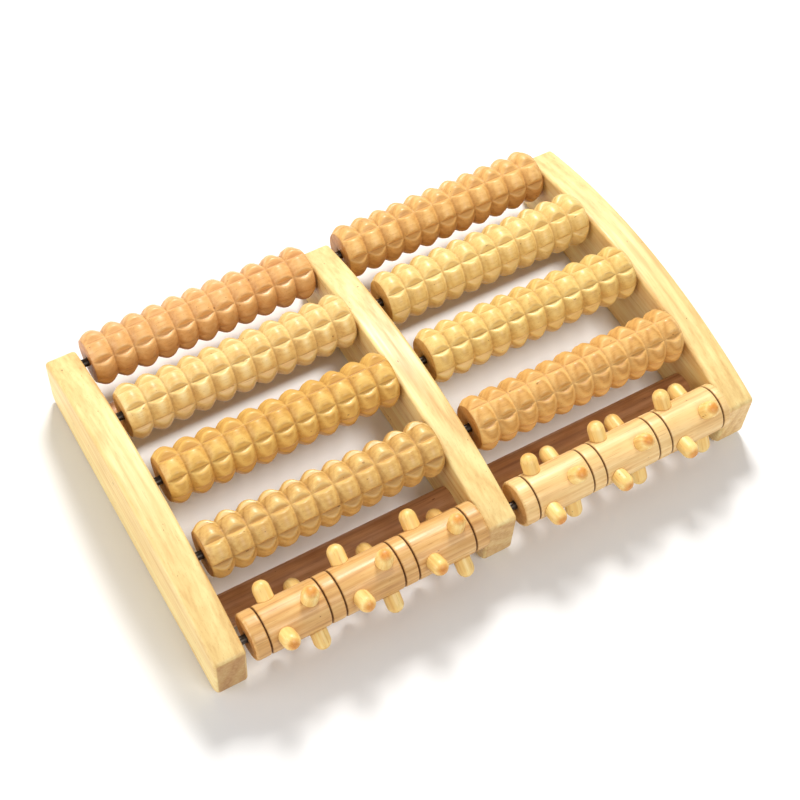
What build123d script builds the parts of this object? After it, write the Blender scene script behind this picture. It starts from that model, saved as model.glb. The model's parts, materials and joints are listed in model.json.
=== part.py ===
from build123d import *
import math
import os

# Foot massage roller: three arched wooden rails joined by two dowels carry two
# bays of five rollers. Millimetres, +X to the right, +Y to the back, +Z up.
# The origin lies on the floor plane, under the middle rail, midway front to back.

# ---- driving dimensions: frame ----
FRAME_WIDTH = 280.0
RAIL_LENGTH = 175.0
RAIL_THICKNESS = 15.2
RAIL_CROWN_HEIGHT = 44.2
RAIL_ARCH_RADIUS = 282.0
MIDDLE_RAIL_X = 1.5
RAIL_FOOT_RADIUS = 6.0
RAIL_NOSE_RADIUS = 2.6
RAIL_EDGE_RADIUS = 1.8

# ---- driving dimensions: axles and cross dowels ----
ROW_PITCH = 40.05
ROWS = (1, 2, 3, 4, 5)
MIDDLE_ROW = 3
AXLE_DEPTH_BELOW_ARCH = 5.0
AXLE_DIAMETER = 4.0
AXLE_SOCKET_DEPTH = 9.0
AXLE_END_CHAMFER = 0.4
AXLE_RUNNING_CLEARANCE = 0.06
DOWEL_DIAMETER = 16.0
DOWEL_SOCKET_DEPTH = 9.0
DOWEL_END_CHAMFER = 0.8
DOWEL_Y = 56.8
DOWEL_Z = 9.8

# ---- driving dimensions: rollers ----
ROLLER_GAP_LEFT = 3.2
ROLLER_GAP_RIGHT = 0.8
RING_COUNT = 11
RING_CREST_RADIUS = 13.5
RING_VALLEY_RADIUS = 10.6
RING_FLANK_ANGLE = 37.0
FLUTE_COUNT = 7
FLUTE_BOTTOM_RADIUS = 10.9
FLUTE_HALF_ANGLE = 49.0
FLUTE_CUTTER_OVERRUN = 1.0
FLUTE_PHASES = {
    "left": {1: 30.1, 2: 14.9, 3: 27.4, 4: 50.4},
    "right": {1: 46.1, 2: 9.3, 3: 18.6, 4: 26.6},
}

# ---- driving dimensions: peg rollers ----
PEG_ROLLER_RADIUS = 11.0
PEG_ROLLER_EDGE_RADIUS = 1.2
SECTION_LENGTH = 28.9
LAND_LENGTH = 7.0
SECTION_COUNT = 3
TURNED_GROOVE_WIDTH = 1.0
TURNED_GROOVE_DEPTH = 1.0
TURNED_PATTERN_SHIFT = {"left": 0.0, "right": 1.5}
PEG_DIAMETER = 7.9
PEG_TIP_RADIUS_FROM_AXLE = 19.7
PEG_ROOT_RADIUS_FROM_AXLE = 5.5
PEG_NOSE_RADIUS = 3.7
PEGS_PER_RING = 3
PEG_RING_SETBACK = {"left": 7.4, "right": 5.7}
PEG_RING_SPACING = 15.2
PEG_RING_STAGGER = 53.0
PEG_FIRST_ANGLE = {"left": 150.0, "right": 168.5}

# ---- derived dimensions ----
PEG_ROW = ROWS[-1]
KNOB_ROWS = ROWS[:-1]
OUTER_RAIL_X = (FRAME_WIDTH - RAIL_THICKNESS) / 2
AXLE_RADIUS = AXLE_DIAMETER / 2
ROLLER_BORE_RADIUS = AXLE_RADIUS + AXLE_RUNNING_CLEARANCE
RAIL_INNER_X = FRAME_WIDTH / 2 - RAIL_THICKNESS
BAYS = {
    "left": (-RAIL_INNER_X, MIDDLE_RAIL_X - RAIL_THICKNESS / 2),
    "right": (MIDDLE_RAIL_X + RAIL_THICKNESS / 2, RAIL_INNER_X),
}
AXLE_HALF_LENGTH = RAIL_INNER_X + AXLE_SOCKET_DEPTH
DOWEL_HALF_LENGTH = RAIL_INNER_X + DOWEL_SOCKET_DEPTH


def arch_height(y):
    """Height of the rails' arched top above the floor at a distance y."""
    sagitta = RAIL_ARCH_RADIUS - math.sqrt(RAIL_ARCH_RADIUS**2 - y**2)
    return RAIL_CROWN_HEIGHT - sagitta


def row_y(row):
    """Rows count from the back of the frame to its front."""
    return (MIDDLE_ROW - row) * ROW_PITCH


def row_z(row):
    return arch_height(row_y(row)) - AXLE_DEPTH_BELOW_ARCH


def roller_span(bay):
    """Left and right end of a bay's rollers along the axle."""
    low, high = BAYS[bay]
    return low + ROLLER_GAP_LEFT, high - ROLLER_GAP_RIGHT


def cross_plane(x, row):
    """Plane square to a row's axle: local x runs to the back, local y up."""
    return Plane(origin=(x, row_y(row), row_z(row)), x_dir=(0, 1, 0), z_dir=(1, 0, 0))


def length_plane(x, row):
    """Plane through a row's axle: local x runs along the axle, local y up."""
    return Plane(origin=(x, row_y(row), row_z(row)), x_dir=(1, 0, 0), z_dir=(0, -1, 0))


def side_plane(x):
    """Plane of a rail's side face: local x runs to the back, local y up."""
    return Plane(origin=(x, 0, 0), x_dir=(0, 1, 0), z_dir=(1, 0, 0))


def save(part, name):
    part.label = name
    export_step(part, os.path.join("parts", name + ".step"))


def make_rail(name, centre_x, socket_start_x, socket_length):
    """A flat-bottomed, arch-topped rail with bored axle and dowel sockets."""
    half = RAIL_LENGTH / 2
    end_height = arch_height(half)
    with BuildPart() as rail:
        with BuildSketch(side_plane(centre_x - RAIL_THICKNESS / 2)):
            with BuildLine():
                Polyline((-half, end_height), (-half, 0), (half, 0), (half, end_height))
                ThreePointArc((half, end_height), (0, RAIL_CROWN_HEIGHT), (-half, end_height))
            make_face()
        extrude(amount=RAIL_THICKNESS)
        cross_edges = rail.edges().filter_by(Axis.X)
        fillet(cross_edges.group_by(Axis.Z)[0], radius=RAIL_FOOT_RADIUS)
        fillet(rail.edges().filter_by(Axis.X).group_by(Axis.Z)[-1], radius=RAIL_NOSE_RADIUS)
        sides = rail.faces().filter_by(Axis.X)
        fillet(sides.edges(), radius=RAIL_EDGE_RADIUS)
        for row in ROWS:
            with BuildSketch(cross_plane(socket_start_x, row)):
                Circle(AXLE_RADIUS)
            extrude(amount=socket_length, mode=Mode.SUBTRACT)
        with BuildSketch(side_plane(socket_start_x)):
            with Locations((-DOWEL_Y, DOWEL_Z), (DOWEL_Y, DOWEL_Z)):
                Circle(DOWEL_DIAMETER / 2)
        extrude(amount=socket_length, mode=Mode.SUBTRACT)
    save(rail.part, name)


def make_rails():
    depth = AXLE_SOCKET_DEPTH
    make_rail("left_rail", -OUTER_RAIL_X, -RAIL_INNER_X - depth, depth)
    make_rail("right_rail", OUTER_RAIL_X, RAIL_INNER_X, depth)
    middle_start = MIDDLE_RAIL_X - RAIL_THICKNESS / 2
    make_rail("middle_rail", MIDDLE_RAIL_X, middle_start, RAIL_THICKNESS)


def make_cross_dowel(name, y):
    """A wooden dowel that ties the three rails together near the floor."""
    plane = Plane(origin=(-DOWEL_HALF_LENGTH, y, DOWEL_Z), x_dir=(0, 1, 0), z_dir=(1, 0, 0))
    with BuildPart() as dowel:
        with BuildSketch(plane):
            Circle(DOWEL_DIAMETER / 2)
        extrude(amount=2 * DOWEL_HALF_LENGTH)
        chamfer(dowel.edges().filter_by(GeomType.CIRCLE), length=DOWEL_END_CHAMFER)
    save(dowel.part, name)


def make_axle(row):
    """A steel rod through both rollers of a row, ends blind in the outer rails."""
    with BuildPart() as axle:
        with BuildSketch(cross_plane(-AXLE_HALF_LENGTH, row)):
            Circle(AXLE_RADIUS)
        extrude(amount=2 * AXLE_HALF_LENGTH)
        chamfer(axle.edges().filter_by(GeomType.CIRCLE), length=AXLE_END_CHAMFER)
    save(axle.part, f"axle_row_{row}")


def crest_rounding(pitch):
    """Radius of the arc that blends a ring's two straight flanks at its crest."""
    flank = math.radians(RING_FLANK_ANGLE)
    rise = RING_CREST_RADIUS - RING_VALLEY_RADIUS
    overshoot = pitch / 2 * math.tan(flank) - rise
    return overshoot / (math.tan(flank) * math.sin(flank) + math.cos(flank) - 1)


def make_knobbed_roller(bay, row):
    """A turned roller of rounded rings, crossed by straight V flutes."""
    start, end = roller_span(bay)
    length = end - start
    pitch = length / RING_COUNT
    axle_line = Axis((0, row_y(row), row_z(row)), (1, 0, 0))
    rounding = crest_rounding(pitch)
    flank = math.radians(RING_FLANK_ANGLE)
    shoulder_reach = rounding * math.sin(flank)
    shoulder_radius = RING_CREST_RADIUS - rounding * (1 - math.cos(flank))
    flute_top = RING_CREST_RADIUS + FLUTE_CUTTER_OVERRUN
    flute_half_width = (flute_top - FLUTE_BOTTOM_RADIUS) * math.tan(math.radians(FLUTE_HALF_ANGLE))
    with BuildPart() as roller:
        with BuildSketch(length_plane(start, row)):
            with BuildLine():
                for ring in range(RING_COUNT):
                    middle = (ring + 0.5) * pitch
                    left = (middle - shoulder_reach, shoulder_radius)
                    right = (middle + shoulder_reach, shoulder_radius)
                    Line((ring * pitch, RING_VALLEY_RADIUS), left)
                    ThreePointArc(left, (middle, RING_CREST_RADIUS), right)
                    Line(right, ((ring + 1) * pitch, RING_VALLEY_RADIUS))
                Polyline(
                    (length, RING_VALLEY_RADIUS),
                    (length, ROLLER_BORE_RADIUS),
                    (0, ROLLER_BORE_RADIUS),
                    (0, RING_VALLEY_RADIUS),
                )
            make_face()
        revolve(axis=axle_line)
        with BuildSketch(cross_plane(start, row)):
            with PolarLocations(0, FLUTE_COUNT, start_angle=FLUTE_PHASES[bay][row]):
                Polygon(
                    (FLUTE_BOTTOM_RADIUS, 0),
                    (flute_top, flute_half_width),
                    (flute_top, -flute_half_width),
                    align=None,
                )
        extrude(amount=length, mode=Mode.SUBTRACT)
    save(roller.part, f"{bay}_knobbed_roller_{row}")


def peg_ring_places(bay):
    """Distance from the roller's end and first peg angle of each ring of pegs."""
    start, end = roller_span(bay)
    middle = (end - start) / 2 + TURNED_PATTERN_SHIFT[bay]
    places = []
    for section in range(SECTION_COUNT):
        section_middle = middle + (section - 1) * (SECTION_LENGTH + LAND_LENGTH)
        first = section_middle - SECTION_LENGTH / 2 + PEG_RING_SETBACK[bay]
        places.append((first, PEG_FIRST_ANGLE[bay]))
        places.append((first + PEG_RING_SPACING, PEG_FIRST_ANGLE[bay] - PEG_RING_STAGGER))
    return places


def make_peg_roller(bay):
    """A smooth turned roller with paired V grooves and drilled peg holes."""
    start, end = roller_span(bay)
    length = end - start
    middle = length / 2 + TURNED_PATTERN_SHIFT[bay]
    axle_line = Axis((0, row_y(PEG_ROW), row_z(PEG_ROW)), (1, 0, 0))
    groove_half = TURNED_GROOVE_WIDTH / 2
    groove_bottom = PEG_ROLLER_RADIUS - TURNED_GROOVE_DEPTH
    with BuildPart() as roller:
        with BuildSketch(cross_plane(start, PEG_ROW)):
            Circle(PEG_ROLLER_RADIUS)
            Circle(ROLLER_BORE_RADIUS, mode=Mode.SUBTRACT)
        extrude(amount=length)
        rims = roller.edges().filter_by(GeomType.CIRCLE).group_by(SortBy.RADIUS)[-1]
        fillet(rims, radius=PEG_ROLLER_EDGE_RADIUS)
        with BuildSketch(length_plane(start, PEG_ROW)):
            for section in range(SECTION_COUNT):
                section_middle = middle + (section - 1) * (SECTION_LENGTH + LAND_LENGTH)
                for side in (-1, 1):
                    groove_x = section_middle + side * SECTION_LENGTH / 2
                    Polygon(
                        (groove_x, groove_bottom),
                        (groove_x + groove_half, PEG_ROLLER_RADIUS),
                        (groove_x + groove_half, PEG_ROLLER_RADIUS + groove_half),
                        (groove_x - groove_half, PEG_ROLLER_RADIUS + groove_half),
                        (groove_x - groove_half, PEG_ROLLER_RADIUS),
                        align=None,
                    )
        revolve(axis=axle_line, mode=Mode.SUBTRACT)
        for distance, first_angle in peg_ring_places(bay):
            for peg in range(PEGS_PER_RING):
                angle = first_angle + peg * 360 / PEGS_PER_RING
                with BuildSketch(peg_plane(start + distance, angle)):
                    Circle(PEG_DIAMETER / 2)
                extrude(amount=PEG_ROLLER_RADIUS, mode=Mode.SUBTRACT)
    save(roller.part, f"{bay}_peg_roller")


def peg_plane(x, angle):
    """Plane at a peg's root, facing outwards; 0 degrees is to the back, 90 up."""
    out_y = math.cos(math.radians(angle))
    out_z = math.sin(math.radians(angle))
    root = PEG_ROOT_RADIUS_FROM_AXLE
    origin = (x, row_y(PEG_ROW) + root * out_y, row_z(PEG_ROW) + root * out_z)
    return Plane(origin=origin, x_dir=(1, 0, 0), z_dir=(0, out_y, out_z))


def make_peg_ring(bay, number, distance, first_angle):
    """Three round-nosed pegs set round the roller at one place along it."""
    start = roller_span(bay)[0]
    with BuildPart() as pegs:
        for peg in range(PEGS_PER_RING):
            root = peg_plane(start + distance, first_angle + peg * 360 / PEGS_PER_RING)
            with BuildSketch(root):
                Circle(PEG_DIAMETER / 2)
            extrude(amount=PEG_TIP_RADIUS_FROM_AXLE - PEG_ROOT_RADIUS_FROM_AXLE)
            tip = pegs.faces(Select.LAST).sort_by(Axis(root.origin, root.z_dir))[-1]
            fillet(tip.edges(), radius=PEG_NOSE_RADIUS)
    save(pegs.part, f"{bay}_pegs_{number}")


def make_all():
    os.makedirs("parts", exist_ok=True)
    make_rails()
    make_cross_dowel("front_cross_dowel", -DOWEL_Y)
    make_cross_dowel("rear_cross_dowel", DOWEL_Y)
    for row in ROWS:
        make_axle(row)
    for bay in BAYS:
        for row in KNOB_ROWS:
            make_knobbed_roller(bay, row)
        make_peg_roller(bay)
        for number, (distance, first_angle) in enumerate(peg_ring_places(bay), start=1):
            make_peg_ring(bay, number, distance, first_angle)


make_all()
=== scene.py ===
"""Looks for the wooden foot massage roller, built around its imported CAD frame.

Metres, +X to the right, +Y to the back, +Z up. Every roller and peg gets a
finer carved or turned mesh in place of its CAD node. The rails, the cross
dowels and the axles keep their CAD nodes and get procedural materials.
"""

import json
import math

import bpy
import numpy as np
from mathutils import Matrix, Vector


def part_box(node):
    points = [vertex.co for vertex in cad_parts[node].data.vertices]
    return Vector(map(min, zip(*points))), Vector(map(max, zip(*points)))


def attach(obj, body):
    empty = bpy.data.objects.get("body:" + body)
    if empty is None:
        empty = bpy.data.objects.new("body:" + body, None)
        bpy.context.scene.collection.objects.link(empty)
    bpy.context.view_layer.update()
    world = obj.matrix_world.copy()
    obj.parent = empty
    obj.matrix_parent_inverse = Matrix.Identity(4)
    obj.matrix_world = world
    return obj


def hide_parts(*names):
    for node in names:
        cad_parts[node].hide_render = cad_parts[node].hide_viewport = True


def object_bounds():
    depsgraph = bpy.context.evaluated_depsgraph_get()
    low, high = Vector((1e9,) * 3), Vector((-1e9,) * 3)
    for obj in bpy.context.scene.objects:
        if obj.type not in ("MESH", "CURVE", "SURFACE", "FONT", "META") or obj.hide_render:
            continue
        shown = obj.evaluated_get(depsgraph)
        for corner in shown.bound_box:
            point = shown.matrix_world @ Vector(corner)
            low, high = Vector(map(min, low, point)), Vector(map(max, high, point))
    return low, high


MM = 0.001

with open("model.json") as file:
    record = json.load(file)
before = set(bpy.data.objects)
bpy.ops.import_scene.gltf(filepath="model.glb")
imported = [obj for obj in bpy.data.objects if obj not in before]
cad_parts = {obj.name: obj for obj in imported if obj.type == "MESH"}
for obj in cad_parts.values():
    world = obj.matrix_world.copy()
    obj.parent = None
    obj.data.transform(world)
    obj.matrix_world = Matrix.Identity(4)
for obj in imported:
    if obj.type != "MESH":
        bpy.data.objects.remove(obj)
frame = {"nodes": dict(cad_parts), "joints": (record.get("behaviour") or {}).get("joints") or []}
cad_low, cad_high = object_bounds()
spin_joints = {joint["child"]: joint for joint in frame["joints"]}


# ---------------------------------------------------------------- camera


LENS = 73.75
CAMERA_PLACE = (-0.23715, -0.35266, 0.66075)
CAMERA_FORWARD = Vector((0.30686, 0.45553, -0.83566))
CAMERA_ROLL = math.radians(4.62)


def make_camera():
    """A high view from the front left, a little rolled."""
    data = bpy.data.cameras.new("camera")
    data.sensor_width = 36.0
    data.lens = LENS
    data.clip_start = 0.01
    forward = CAMERA_FORWARD.normalized()
    level_right = forward.cross(Vector((0, 0, 1))).normalized()
    level_up = level_right.cross(forward)
    right = level_right * math.cos(CAMERA_ROLL) + level_up * math.sin(CAMERA_ROLL)
    up = level_up * math.cos(CAMERA_ROLL) - level_right * math.sin(CAMERA_ROLL)
    turn = Matrix((right, up, -forward)).transposed()
    camera = bpy.data.objects.new("camera", data)
    camera.matrix_world = Matrix.Translation(CAMERA_PLACE) @ turn.to_4x4()
    bpy.context.scene.collection.objects.link(camera)
    bpy.context.scene.camera = camera


# ---------------------------------------------------------------- materials


def tone(red, green, blue):
    """A display colour from 0 to 255 as a linear colour."""
    channels = [c / 255 for c in (red, green, blue)]
    linear = [c / 12.92 if c <= 0.04045 else ((c + 0.055) / 1.055) ** 2.4 for c in channels]
    return (*linear, 1.0)


class Shader:
    """A material's nodes, added one small step at a time."""

    def __init__(self, name):
        self.material = bpy.data.materials.new(name)
        self.material.use_nodes = True
        self.nodes = self.material.node_tree.nodes
        self.links = self.material.node_tree.links
        self.nodes.clear()
        self.surface = self.add("ShaderNodeBsdfPrincipled")
        output = self.add("ShaderNodeOutputMaterial")
        self.links.new(self.surface.outputs["BSDF"], output.inputs["Surface"])

    def add(self, kind, **settings):
        node = self.nodes.new(kind)
        for key, value in settings.items():
            setattr(node, key, value)
        return node

    def put(self, socket, value):
        if isinstance(value, bpy.types.NodeSocket):
            self.links.new(value, socket)
        else:
            socket.default_value = value

    def math(self, operation, first, second=0.0):
        node = self.add("ShaderNodeMath", operation=operation)
        self.put(node.inputs[0], first)
        self.put(node.inputs[1], second)
        return node.outputs[0]

    def weighted(self, *pairs):
        """The sum of value times weight over the pairs."""
        total = 0.0
        for value, weight in pairs:
            total = self.math("ADD", total, self.math("MULTIPLY", value, weight))
        return total

    def vector(self, operation, first, second=(0, 0, 0)):
        node = self.add("ShaderNodeVectorMath", operation=operation)
        self.put(node.inputs[0], first)
        self.put(node.inputs[1], second)
        return node.outputs["Value" if operation == "LENGTH" else "Vector"]

    def noise(self, place, stretch, detail=2.0):
        """Noise from 0 to 1; stretch is its frequency along each axis."""
        node = self.add("ShaderNodeTexNoise")
        self.put(node.inputs["Vector"], self.vector("MULTIPLY", place, stretch))
        self.put(node.inputs["Scale"], 1.0)
        self.put(node.inputs["Detail"], detail)
        return node.outputs["Fac"]

    def line_noise(self, place, scale, detail=2.0):
        """Noise that varies along one line only."""
        node = self.add("ShaderNodeTexNoise", noise_dimensions="1D")
        self.put(node.inputs["W"], place)
        self.put(node.inputs["Scale"], scale)
        self.put(node.inputs["Detail"], detail)
        return node.outputs["Fac"]

    def span(self, value, low, high, to_low=0.0, to_high=1.0):
        """Value from low..high brought to to_low..to_high with soft ends."""
        node = self.add("ShaderNodeMapRange", interpolation_type="SMOOTHSTEP")
        for socket, amount in zip(node.inputs, (value, low, high, to_low, to_high)):
            self.put(socket, amount)
        return node.outputs["Result"]

    def mix(self, factor, first, second, blend="MIX"):
        node = self.add("ShaderNodeMix", data_type="RGBA", blend_type=blend)
        colours = [socket for socket in node.inputs if socket.type == "RGBA"]
        self.put(node.inputs["Factor"], factor)
        self.put(colours[0], first)
        self.put(colours[1], second)
        return next(socket for socket in node.outputs if socket.type == "RGBA")

    def ramp(self, value, stops):
        node = self.add("ShaderNodeValToRGB")
        elements = node.color_ramp.elements
        while len(elements) < len(stops):
            elements.new(0.5)
        for element, (position, colour) in zip(elements, stops):
            element.position = position
            element.color = colour
        self.put(node.inputs["Fac"], value)
        return node.outputs["Color"]

    def attribute(self, name, output="Fac"):
        return self.add("ShaderNodeAttribute", attribute_name=name).outputs[output]

    def axis(self, vector, letter):
        node = self.add("ShaderNodeSeparateXYZ")
        self.put(node.inputs[0], vector)
        return node.outputs[letter]

    def bump(self, height, distance, strength):
        node = self.add("ShaderNodeBump")
        self.put(node.inputs["Height"], height)
        self.put(node.inputs["Distance"], distance)
        self.put(node.inputs["Strength"], strength)
        return node.outputs["Normal"]


def grain_frame(s, carved, along):
    """Coordinates whose X runs along the grain, and how far a face is end grain."""
    if carved:
        return s.attribute("grain", "Vector"), s.attribute("end_grain")
    coordinates = s.add("ShaderNodeTexCoord")
    turn = s.add("ShaderNodeVectorRotate", rotation_type="Z_AXIS")
    s.put(turn.inputs["Vector"], coordinates.outputs["Object"])
    s.put(turn.inputs["Angle"], math.radians({"X": 0, "Y": 90}[along]))
    facing = s.math("ABSOLUTE", s.axis(coordinates.outputs["Normal"], along))
    return turn.outputs["Vector"], s.span(facing, 0.80, 0.97)


def wood(
    name,
    pale,
    golden,
    brown,
    seed,
    along="X",
    carved=False,
    turned=False,
    pith=(0.012, -0.018),
    ring_scale=330.0,
    streaking=0.5,
    pore_strength=0.35,
    end_tint=(0.72, 0.56, 0.42, 1.0),
    dark_line_and_painted_shade_tint=(0.52, 0.33, 0.16, 1.0),
    roughness=0.44,
    coat=0.12,
):
    """Satin-varnished wood: growth rings round a pith, streaks, pores and flecks.

    A carved piece carries its own grain coordinates and marks: burnt lines, peg
    roots, painted crease shade and painted edge highlights; other pieces use
    their place in the frame.
    """
    s = Shader(name)
    place, end_grain = grain_frame(s, carved, along)
    shifted = s.vector("ADD", place, (0.37 * seed, 0.11 * seed, 0.07 * seed))

    wander = s.noise(shifted, (14, 45, 45))
    from_pith = s.vector("SUBTRACT", place, (0.0, *pith))
    distance = s.vector("LENGTH", s.vector("MULTIPLY", from_pith, (0.055, 1, 1)))
    rings = s.line_noise(s.weighted((distance, 1.0), (wander, 0.0042), (1.0, 0.31 * seed)), ring_scale)
    streaks = s.noise(shifted, (22, 620, 620), detail=3.0)
    pores = s.noise(shifted, (150, 2600, 2600), detail=1.0)
    mottle = s.noise(shifted, (45, 110, 110), detail=3.0)
    figure = s.weighted((rings, 1.0 - streaking), (streaks, streaking * 0.6), (mottle, streaking * 0.4))
    colour = s.ramp(figure, [(0.36, pale), (0.52, golden), (0.72, brown)])

    dashes = s.span(pores, 0.60, 0.74, 0.0, pore_strength)
    colour = s.mix(dashes, colour, (0.50, 0.33, 0.19, 1.0), "MULTIPLY")
    flecks = s.span(s.noise(shifted, (330, 620, 620), detail=1.0), 0.76, 0.80, 0.0, 0.7)
    colour = s.mix(flecks, colour, (0.32, 0.17, 0.08, 1.0), "MULTIPLY")
    colour = s.mix(end_grain, colour, end_tint, "MULTIPLY")

    rough = s.span(streaks, 0.3, 0.7, roughness - 0.05, roughness + 0.10)
    height = s.weighted((streaks, 0.6), (pores, -0.5))
    if carved:
        # On the knobbed rollers this mask is painted shade, darkening the seams and flute bottoms; on the peg
        # rollers it carries the real burnt lines, and on the pegs a dark line at each root.
        dark_line_and_painted_shade = s.attribute("dark_line_and_painted_shade")
        colour = s.mix(dark_line_and_painted_shade, colour, dark_line_and_painted_shade_tint, "MULTIPLY")
        # Painted highlight: the carved edges, where a flute cuts a ring, are mixed towards the pale tone.
        colour = s.mix(s.math("MULTIPLY", s.attribute("painted_edge_highlight"), 0.35), colour, pale)
        rough = s.weighted((rough, 1.0), (dark_line_and_painted_shade, 0.25))
    if turned:
        marks = s.line_noise(s.axis(place, "X"), 2600.0, 1.0)
        height = s.weighted((height, 1.0), (marks, 0.35))
    s.put(s.surface.inputs["Base Color"], colour)
    s.put(s.surface.inputs["Roughness"], rough)
    s.put(s.surface.inputs["Normal"], s.bump(height, 0.00009, 0.55))
    s.surface.inputs["Coat Weight"].default_value = coat
    s.surface.inputs["Coat Roughness"].default_value = 0.22
    return s.material


def steel(name):
    """Drawn rod: faint lengthwise scratches and a dull mottled bloom."""
    s = Shader(name)
    place = s.add("ShaderNodeTexCoord").outputs["Object"]
    scratches = s.noise(place, (12, 2400, 2400), detail=3.0)
    bloom = s.noise(place, (60, 240, 240), detail=3.0)
    blend = s.weighted((scratches, 0.6), (bloom, 0.4))
    colour = s.ramp(blend, [(0.35, tone(58, 54, 50)), (0.65, tone(98, 92, 86))])
    s.put(s.surface.inputs["Base Color"], colour)
    s.put(s.surface.inputs["Roughness"], s.span(blend, 0.3, 0.7, 0.26, 0.48))
    s.put(s.surface.inputs["Normal"], s.bump(scratches, 0.00002, 0.4))
    s.surface.inputs["Metallic"].default_value = 1.0
    return s.material


def assign(thing, material):
    slots = thing.data.materials
    if not slots:
        slots.append(material)
    for index in range(len(slots)):
        slots[index] = material


# ---------------------------------------------------------------- meshes


def grid_faces(columns, around, start, closed):
    """Quads between neighbouring columns of points, each column a full turn."""
    last = columns if closed else columns - 1
    column, spoke = np.meshgrid(np.arange(last), np.arange(around), indexing="ij")
    after, beside = (column + 1) % columns, (spoke + 1) % around
    corners = ((column, spoke), (after, spoke), (after, beside), (column, beside))
    return start + np.stack([c * around + a for c, a in corners], axis=-1).reshape(-1, 4)


def add_mesh(name, points, faces, marks, body, nodes, material):
    """A smooth mesh with its marks as attributes, riding in place of CAD nodes."""
    mesh = bpy.data.meshes.new(name)
    mesh.from_pydata(points.tolist(), [], faces.tolist())
    for key, values in marks.items():
        kind = "FLOAT_VECTOR" if values.ndim == 2 else "FLOAT"
        field = "vector" if values.ndim == 2 else "value"
        layer = mesh.attributes.new(key, kind, "POINT")
        layer.data.foreach_set(field, values.astype(np.float32).ravel())
    mesh.shade_smooth()
    mesh.materials.append(material)
    thing = bpy.data.objects.new(name, mesh)
    bpy.context.scene.collection.objects.link(thing)
    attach(thing, body)
    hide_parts(*nodes)
    return thing


def eased_steps(count, crowding):
    """Places from 0 to 1, crowded towards both ends."""
    even = np.arange(count) / count
    crowded = (1 - np.cos(math.pi * even)) / 2
    return (1 - crowding) * even + crowding * crowded


def soft_minimum(first, second, reach):
    """The lower of two, with the crossing rounded inwards over reach."""
    overlap = np.clip(reach - np.abs(first - second), 0, None) / reach
    return np.minimum(first, second) - overlap**2 * reach / 4


def lathe_points(places, radii, turns, axle):
    """Points at each place along X and each turn; radii is one row per place."""
    y = axle[1] + radii * np.cos(turns)
    z = axle[2] + radii * np.sin(turns)
    x = np.broadcast_to(np.asarray(places)[:, None], radii.shape)
    return np.stack([x, y, z], axis=-1).reshape(-1, 3)


MOUTH_EASE = 0.35 * MM
END_SHARES = (0.97, 0.75, 0.5, 0.25)
END_ROWS = len(END_SHARES) + 2


def bored_ends(places, radii, bore):
    """Adds the two end faces and the bore, so that the grid closes on itself."""
    first, last = radii[:1], radii[-1:]
    inside = np.full_like(first, bore)
    mouth = np.full_like(first, bore + MOUTH_EASE)
    left = [mouth + (first - mouth) * share for share in END_SHARES[::-1]]
    right = [mouth + (last - mouth) * share for share in END_SHARES]
    rows = [inside, mouth, *left, radii, *right, mouth, inside]
    low, high = places[0], places[-1]
    face = len(END_SHARES) + 1
    along = [low + MOUTH_EASE, *[low] * face, *places, *[high] * face, high - MOUTH_EASE]
    end_rows = [1] * END_ROWS + [0] * len(places) + [1] * END_ROWS
    return np.array(along), np.concatenate(rows), np.array(end_rows, float)


BORE_RADIUS = 2.06 * MM
RING_COUNT = 11
CREST_RADIUS = 13.48 * MM
VALLEY_RADIUS = 10.6 * MM
FLANK_ANGLE = math.radians(37.0)
FLUTE_COUNT = 7
FLUTE_TURN = 2 * math.pi / FLUTE_COUNT
STEPS_PER_RING = 12
STEPS_PER_FLUTE = 24
FLUTE_RADIUS = 10.9 * MM
FLUTE_SLOPE = math.tan(math.radians(49.0))
FLUTE_PHASES = {
    "left": {1: 30.1, 2: 14.9, 3: 27.4, 4: 50.4},
    "right": {1: 46.1, 2: 9.3, 3: 18.6, 4: 26.6},
}
FLUTE_TWIST = {
    "left": {1: 2.0, 2: 1.0, 3: 3.0, 4: 3.0},
    "right": {1: -4.0, 2: 9.0, 3: -6.0, 4: 1.0},
}


def ring_outline(from_crest, half, crest):
    """Radius of a ring: a rounded crest between two straight flanks."""
    rise = crest - VALLEY_RADIUS
    slope = math.tan(FLANK_ANGLE)
    rounding = (half * slope - rise) / (slope * math.sin(FLANK_ANGLE) + math.cos(FLANK_ANGLE) - 1)
    reach = rounding * math.sin(FLANK_ANGLE)
    arc = crest - rounding + np.sqrt(np.clip(rounding**2 - from_crest**2, 0, None))
    flank = crest - rounding * (1 - math.cos(FLANK_ANGLE)) - (np.abs(from_crest) - reach) * slope
    return np.where(np.abs(from_crest) < reach, arc, flank)


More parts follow.
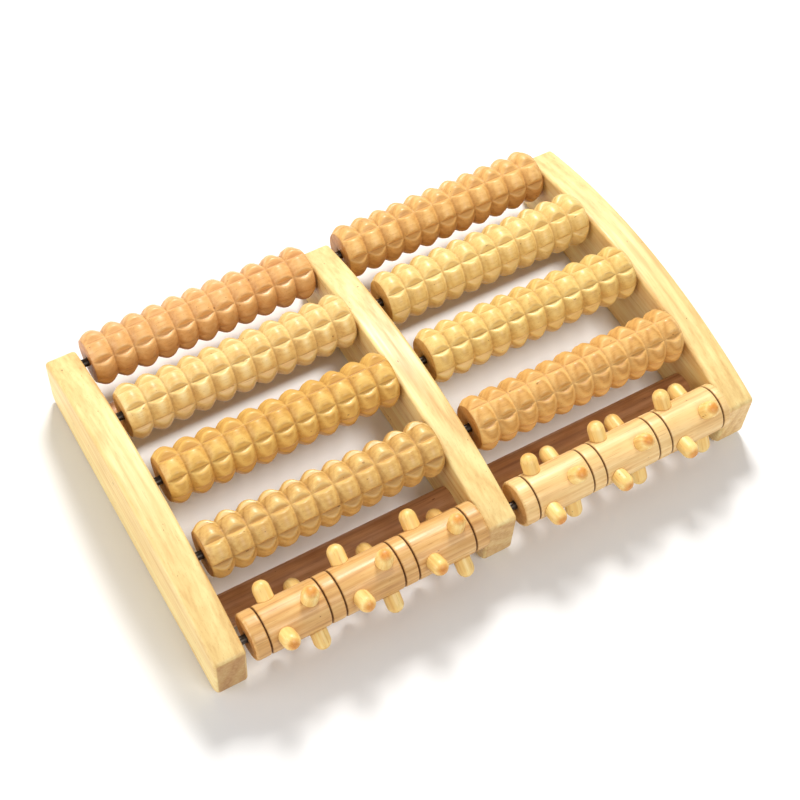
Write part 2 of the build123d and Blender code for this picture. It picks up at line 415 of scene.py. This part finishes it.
def carved_roller(bay, row, material):
    """Eleven rounded rings crossed by seven V flutes, each cut slightly by hand."""
    node = f"{bay}_knobbed_roller_{row}"
    low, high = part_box(node)
    axle = spin_joints[node]["pos_m"]
    chance = np.random.default_rng(10 * row + len(bay))
    pitch = (high.x - low.x) / RING_COUNT

    steps = eased_steps(STEPS_PER_RING, 0.85)
    ring = np.repeat(np.arange(RING_COUNT), len(steps))
    share = np.tile(steps, RING_COUNT)
    ring = np.append(ring, RING_COUNT - 1)
    share = np.append(share, 1.0)
    seams = np.arange(RING_COUNT + 1) * pitch
    seams[1:-1] += chance.uniform(-0.18, 0.18, RING_COUNT - 1) * MM
    along = seams[ring] + share * (seams[ring + 1] - seams[ring])
    crest = CREST_RADIUS - chance.uniform(0, 0.22, RING_COUNT) * MM
    ring_radius = ring_outline((share - 0.5) * pitch, pitch / 2, crest[ring])

    steps = eased_steps(STEPS_PER_FLUTE, 0.6)
    flute = np.repeat(np.arange(FLUTE_COUNT), len(steps))
    share_turn = np.tile(steps, FLUTE_COUNT)
    places = np.arange(FLUTE_COUNT) * FLUTE_TURN + np.radians(chance.uniform(-1.1, 1.1, FLUTE_COUNT))
    places = np.append(places, places[0] + 2 * math.pi) + math.radians(FLUTE_PHASES[bay][row])
    turns = places[flute] + share_turn * (places[flute + 1] - places[flute])
    twist = -math.radians(FLUTE_TWIST[bay][row]) * (along / (high.x - low.x) - 0.5)
    depth = FLUTE_RADIUS + chance.uniform(-0.08, 0.15, FLUTE_COUNT) * MM

    def flank(centre, bottom):
        away = np.abs((turns - centre + math.pi) % (2 * math.pi) - math.pi)
        slope = np.cos(away) - np.sin(away) / FLUTE_SLOPE
        return np.where(slope > 0.3, bottom / np.maximum(slope, 0.3), 1.0)

    flutes = np.min([flank(places[i], depth[i]) for i in range(FLUTE_COUNT)], axis=0)
    outline = np.broadcast_to(ring_radius[:, None], (len(along), len(turns)))
    cut = np.broadcast_to(flutes[None, :], outline.shape)
    radii = soft_minimum(outline, cut, 0.08 * MM)
    turns = turns[None, :] + twist[:, None]

    # Painted shade: colour darkened along the seams between rings and along the flute bottoms, where shade falls
    # in the creases.
    to_seam = np.minimum(share, 1 - share)[:, None] * pitch
    to_flute = (np.minimum(share_turn, 1 - share_turn) * FLUTE_TURN)[None, :] * radii
    painted_seam_shade = 0.42 * np.exp(-((to_seam / (0.26 * MM)) ** 2))
    painted_flute_shade = 0.36 * np.exp(-((to_flute / (0.20 * MM)) ** 2))
    dark_line_and_painted_shade = np.maximum(painted_seam_shade, painted_flute_shade)
    # Painted highlight: a mask along the edges where the flutes cut the rings.
    painted_edge_highlight = np.exp(-(((outline - cut) / (0.40 * MM)) ** 2)) * (1 - dark_line_and_painted_shade)
    columns, rows, ends = bored_ends(low.x + along, radii, BORE_RADIUS)
    before = np.repeat(turns[:1], END_ROWS, axis=0)
    after = np.repeat(turns[-1:], END_ROWS, axis=0)
    turns = np.concatenate([before, turns, after])
    points = lathe_points(columns, rows, turns, axle)
    around = turns.shape[1]
    blank = np.zeros((END_ROWS, around))
    marks = {
        "grain": points - np.array(axle),
        "dark_line_and_painted_shade": np.concatenate([blank, dark_line_and_painted_shade, blank]).ravel(),
        "painted_edge_highlight": np.concatenate([blank, painted_edge_highlight, blank]).ravel(),
        "end_grain": np.repeat(ends, around),
    }
    faces = grid_faces(len(columns), around, 0, closed=True)
    add_mesh(f"carved_{bay}_roller_{row}", points, faces, marks, node, [node], material)


PEG_ROLLER_RADIUS = 11.0 * MM
SECTION_LENGTH = 28.9 * MM
LAND_LENGTH = 7.0 * MM
PATTERN_SHIFT = {"left": 0.0, "right": 1.5 * MM}
GROOVE_HALF_WIDTH = 0.5 * MM
GROOVE_DEPTH = 1.0 * MM
RIM_ROUNDING = 1.2 * MM
STEPS_AROUND = 112


def turned_roller(bay, material):
    """A smooth roller turned with six burnt V grooves and eased rims."""
    node = f"{bay}_peg_roller"
    low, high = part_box(node)
    axle = spin_joints[node]["pos_m"]
    middle = (low.x + high.x) / 2 + PATTERN_SHIFT[bay]
    reach = SECTION_LENGTH + LAND_LENGTH
    half = SECTION_LENGTH / 2
    grooves = np.array([middle + k * reach + side * half for k in (-1, 0, 1) for side in (-1, 1)])
    near = np.concatenate([[0], np.geomspace(0.08, 1.6, 9)]) * MM
    places = [g + side * step for g in grooves for side in (-1, 1) for step in near]
    rim = np.concatenate([[0], np.geomspace(0.05, 1.8, 9)]) * MM
    places += [low.x + step for step in rim] + [high.x - step for step in rim]
    places += list(np.linspace(low.x + 2 * MM, high.x - 2 * MM, 110))
    places = np.unique(np.round(np.clip(places, low.x, high.x), 6))

    to_end = np.minimum(places - low.x, high.x - places)
    rounding = np.clip(RIM_ROUNDING - to_end, 0, None)
    kept = np.sqrt(np.clip(RIM_ROUNDING**2 - rounding**2, 0, None))
    radius = PEG_ROLLER_RADIUS - (RIM_ROUNDING - kept)
    to_groove = np.min(np.abs(places[:, None] - grooves[None, :]), axis=1)
    radius -= GROOVE_DEPTH * np.clip(1 - to_groove / GROOVE_HALF_WIDTH, 0, None)
    radius -= 0.16 * MM * np.exp(-(np.clip(to_groove - GROOVE_HALF_WIDTH, 0, None) / (0.35 * MM)))
    turns = np.arange(STEPS_AROUND) * 2 * math.pi / STEPS_AROUND
    radii = np.repeat(radius[:, None], len(turns), axis=1)
    columns, rows, ends = bored_ends(places, radii, BORE_RADIUS)
    points = lathe_points(columns, rows, turns, axle)
    burn = 0.85 * np.exp(-((to_groove / (0.45 * MM)) ** 4))
    burn = np.concatenate([np.zeros(END_ROWS), burn, np.zeros(END_ROWS)])
    marks = {
        "grain": points - np.array(axle),
        "dark_line_and_painted_shade": np.repeat(burn, len(turns)),
        "painted_edge_highlight": np.zeros(len(points)),
        "end_grain": np.repeat(ends, len(turns)),
    }
    faces = grid_faces(len(columns), len(turns), 0, closed=True)
    add_mesh(f"turned_{bay}_peg_roller", points, faces, marks, node, [node], material)


PEG_RADIUS = 3.95 * MM
PEG_TIP = 19.7 * MM
PEG_NOSE_START = 15.6 * MM
PEG_FIRST_ANGLE = {"left": 150.0, "right": 168.5}
PEG_STAGGER = 53.0
PEGS_PER_RING = 3
STEPS_ROUND_PEG = 40


def peg_outline():
    """Height above the axle and radius of a peg, from its root to its round nose."""
    shaft = [(height * MM, PEG_RADIUS) for height in np.linspace(8.0, 14.8, 18)]
    nose = []
    for step in range(15):
        turn = math.pi / 2 * step / 14
        height = PEG_NOSE_START + (PEG_TIP - PEG_NOSE_START) * math.sin(turn)
        radius = PEG_RADIUS * max(math.cos(turn), 0.0) ** 0.9
        nose.append((height, max(radius, 0.02 * MM)))
    return np.array(shaft + nose)


def peg_ring(bay, number, material):
    """Three round-nosed pegs standing out of the roller like spokes."""
    node = f"{bay}_pegs_{number}"
    low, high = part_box(node)
    body = f"{bay}_peg_roller"
    axle = np.array(spin_joints[body]["pos_m"])
    centre_x = (low.x + high.x) / 2
    chance = np.random.default_rng(100 * number + len(bay))
    first = PEG_FIRST_ANGLE[bay] - (PEG_STAGGER if number % 2 == 0 else 0.0)
    outline = peg_outline()
    around = STEPS_ROUND_PEG
    turns = np.arange(around) * 2 * math.pi / around
    points, faces, grain, dark_line_and_painted_shade, nose = [], [], [], [], []
    for peg in range(PEGS_PER_RING):
        angle = math.radians(first + peg * 360 / PEGS_PER_RING)
        outward = np.array((0, math.cos(angle), math.sin(angle)))
        aside = np.array((0, -math.sin(angle), math.cos(angle)))
        height = np.repeat(outline[:, 0], around)
        radius = np.repeat(outline[:, 1], around)
        turn = np.tile(turns, len(outline))
        across_x, across_side = radius * np.cos(turn), radius * np.sin(turn)
        origin = np.array((centre_x, axle[1], axle[2]))
        spots = origin + height[:, None] * outward + across_side[:, None] * aside
        spots[:, 0] += across_x
        start = peg * len(height)
        points.append(spots)
        faces.append(grid_faces(len(outline), around, start, closed=False))
        grain.append(np.stack([height, across_x, across_side], axis=-1) + chance.uniform(-0.05, 0.05, 3))
        surface = np.sqrt(PEG_ROLLER_RADIUS**2 - across_side**2)
        dark_line_and_painted_shade.append(0.8 * np.exp(-((np.clip(height - surface, 0, None) / (0.35 * MM)) ** 2)))
        wear = 1.0 if peg == 0 else 0.35
        nose.append(wear * np.clip((height - PEG_TIP + 1.5 * MM) / (1.3 * MM), 0, 1))
    marks = {
        "grain": np.concatenate(grain),
        "dark_line_and_painted_shade": np.concatenate(dark_line_and_painted_shade),
        "painted_edge_highlight": np.zeros(len(points) * len(points[0])),
        "end_grain": np.concatenate(nose),
    }
    points, faces = np.concatenate(points), np.concatenate(faces)
    name = f"turned_{bay}_pegs_{number}"
    add_mesh(name, points, faces, marks, body, [node], material)


# ---------------------------------------------------------------- the object

make_camera()

rail_tones = dict(pale=tone(240, 219, 154), golden=tone(228, 196, 130), brown=tone(200, 154, 90))
# The end tints darken the end grain of each rail's ends; their step from dark on the left rail to nearly none on
# the right rail is painted shade and light on the front ends.
rail_looks = {
    "left_rail": dict(seed=1.0, pith=(0.090, -0.060), end_tint=(0.66, 0.52, 0.44, 1.0)),
    "middle_rail": dict(seed=2.0, pith=(0.045, 0.120), end_tint=(0.84, 0.73, 0.69, 1.0)),
    "right_rail": dict(seed=3.0, pith=(-0.100, 0.090), end_tint=(0.97, 0.87, 0.80, 1.0)),
}
for node, look in rail_looks.items():
    look.update(rail_tones, ring_scale=180.0, streaking=0.6, pore_strength=0.25, roughness=0.46, coat=0.06)
    material = wood(f"{node}_wood", along="Y", **look)
    assign(frame["nodes"][node], material)

dowel_wood = wood(
    "cross_dowel_wood", tone(222, 174, 130), tone(196, 146, 104), tone(150, 104, 72), seed=4.0, streaking=0.7
)
for node in ("front_cross_dowel", "rear_cross_dowel"):
    assign(frame["nodes"][node], dowel_wood)
axle_steel = steel("axle_steel")
for row in range(1, 6):
    assign(frame["nodes"][f"axle_row_{row}"], axle_steel)

roller_tones = {
    ("left", 1): (tone(234, 191, 131), tone(220, 166, 101), tone(186, 123, 64)),
    ("left", 2): (tone(242, 216, 151), tone(232, 196, 124), tone(204, 156, 86)),
    ("left", 3): (tone(232, 191, 108), tone(214, 165, 82), tone(180, 125, 50)),
    ("left", 4): (tone(228, 191, 118), tone(208, 163, 91), tone(168, 121, 58)),
    ("right", 1): (tone(234, 193, 126), tone(218, 169, 98), tone(184, 127, 62)),
    ("right", 2): (tone(240, 211, 141), tone(226, 189, 114), tone(196, 149, 78)),
    ("right", 3): (tone(240, 211, 138), tone(228, 191, 112), tone(198, 151, 76)),
    ("right", 4): (tone(232, 189, 118), tone(216, 165, 92), tone(182, 125, 58)),
}
for order, ((bay, row), tones) in enumerate(roller_tones.items()):
    pith = (0.010 + 0.004 * (order % 3), -0.014 - 0.003 * (order % 4))
    material = wood(f"{bay}_roller_{row}_wood", *tones, seed=5.0 + order, carved=True, pith=pith, streaking=0.55)
    carved_roller(bay, row, material)

burn_tint = tone(104, 64, 36)
peg_roller_tones = {
    "left": (tone(232, 192, 130), tone(213, 163, 96), tone(168, 110, 54)),
    "right": (tone(246, 212, 150), tone(235, 194, 130), tone(206, 156, 92)),
}
peg_tones = (tone(250, 222, 150), tone(240, 200, 120), tone(214, 158, 80))
for order, (bay, tones) in enumerate(peg_roller_tones.items()):
    material = wood(
        f"{bay}_peg_roller_wood", *tones, seed=14.0 + order, carved=True, turned=True,
        streaking=0.8, dark_line_and_painted_shade_tint=burn_tint, pith=(0.03, -0.02),
    )
    turned_roller(bay, material)
    material = wood(
        f"{bay}_peg_wood", *peg_tones, seed=17.0 + order, carved=True, streaking=0.6, end_tint=tone(232, 188, 140)
    )
    for number in range(1, 7):
        peg_ring(bay, number, material)


# ---------------------------------------------------------------- stage


def plain(name, colour, roughness):
    s = Shader(name)
    s.surface.inputs["Base Color"].default_value = colour
    s.surface.inputs["Roughness"].default_value = roughness
    return s.material


def make_floor():
    bpy.ops.mesh.primitive_plane_add(size=6.0, location=(0, 0, cad_low.z))
    floor = bpy.context.object
    floor.name = "floor"
    floor.data.materials.append(plain("pale_floor", (0.86, 0.86, 0.87, 1.0), 0.7))


def area_light(name, place, target, size, power, colour=(1, 1, 1)):
    data = bpy.data.lights.new(name, "AREA")
    data.size = size
    data.energy = power
    data.color = colour
    light = bpy.data.objects.new(name, data)
    light.location = place
    light.rotation_euler = (Vector(target) - Vector(place)).to_track_quat("-Z", "Y").to_euler()
    bpy.context.scene.collection.objects.link(light)


def make_light():
    world = bpy.data.worlds.new("studio")
    world.use_nodes = True
    sky = world.node_tree.nodes["Background"]
    sky.inputs["Color"].default_value = (1.0, 0.99, 0.97, 1.0)
    sky.inputs["Strength"].default_value = 0.33
    bpy.context.scene.world = world
    area_light("key", (0.30, 0.62, 0.90), (0, 0, 0), 0.30, 13.0, (1.0, 0.985, 0.95))
    area_light("front", (0.15, -0.90, 0.80), (0, 0, 0), 0.60, 5.5, (1.0, 0.985, 0.96))
    area_light("side", (-1.10, 0.10, 0.30), (0, 0, 0.02), 0.8, 8.0, (1.0, 0.98, 0.94))


make_floor()
make_light()
bpy.context.scene.view_settings.view_transform = "Standard"
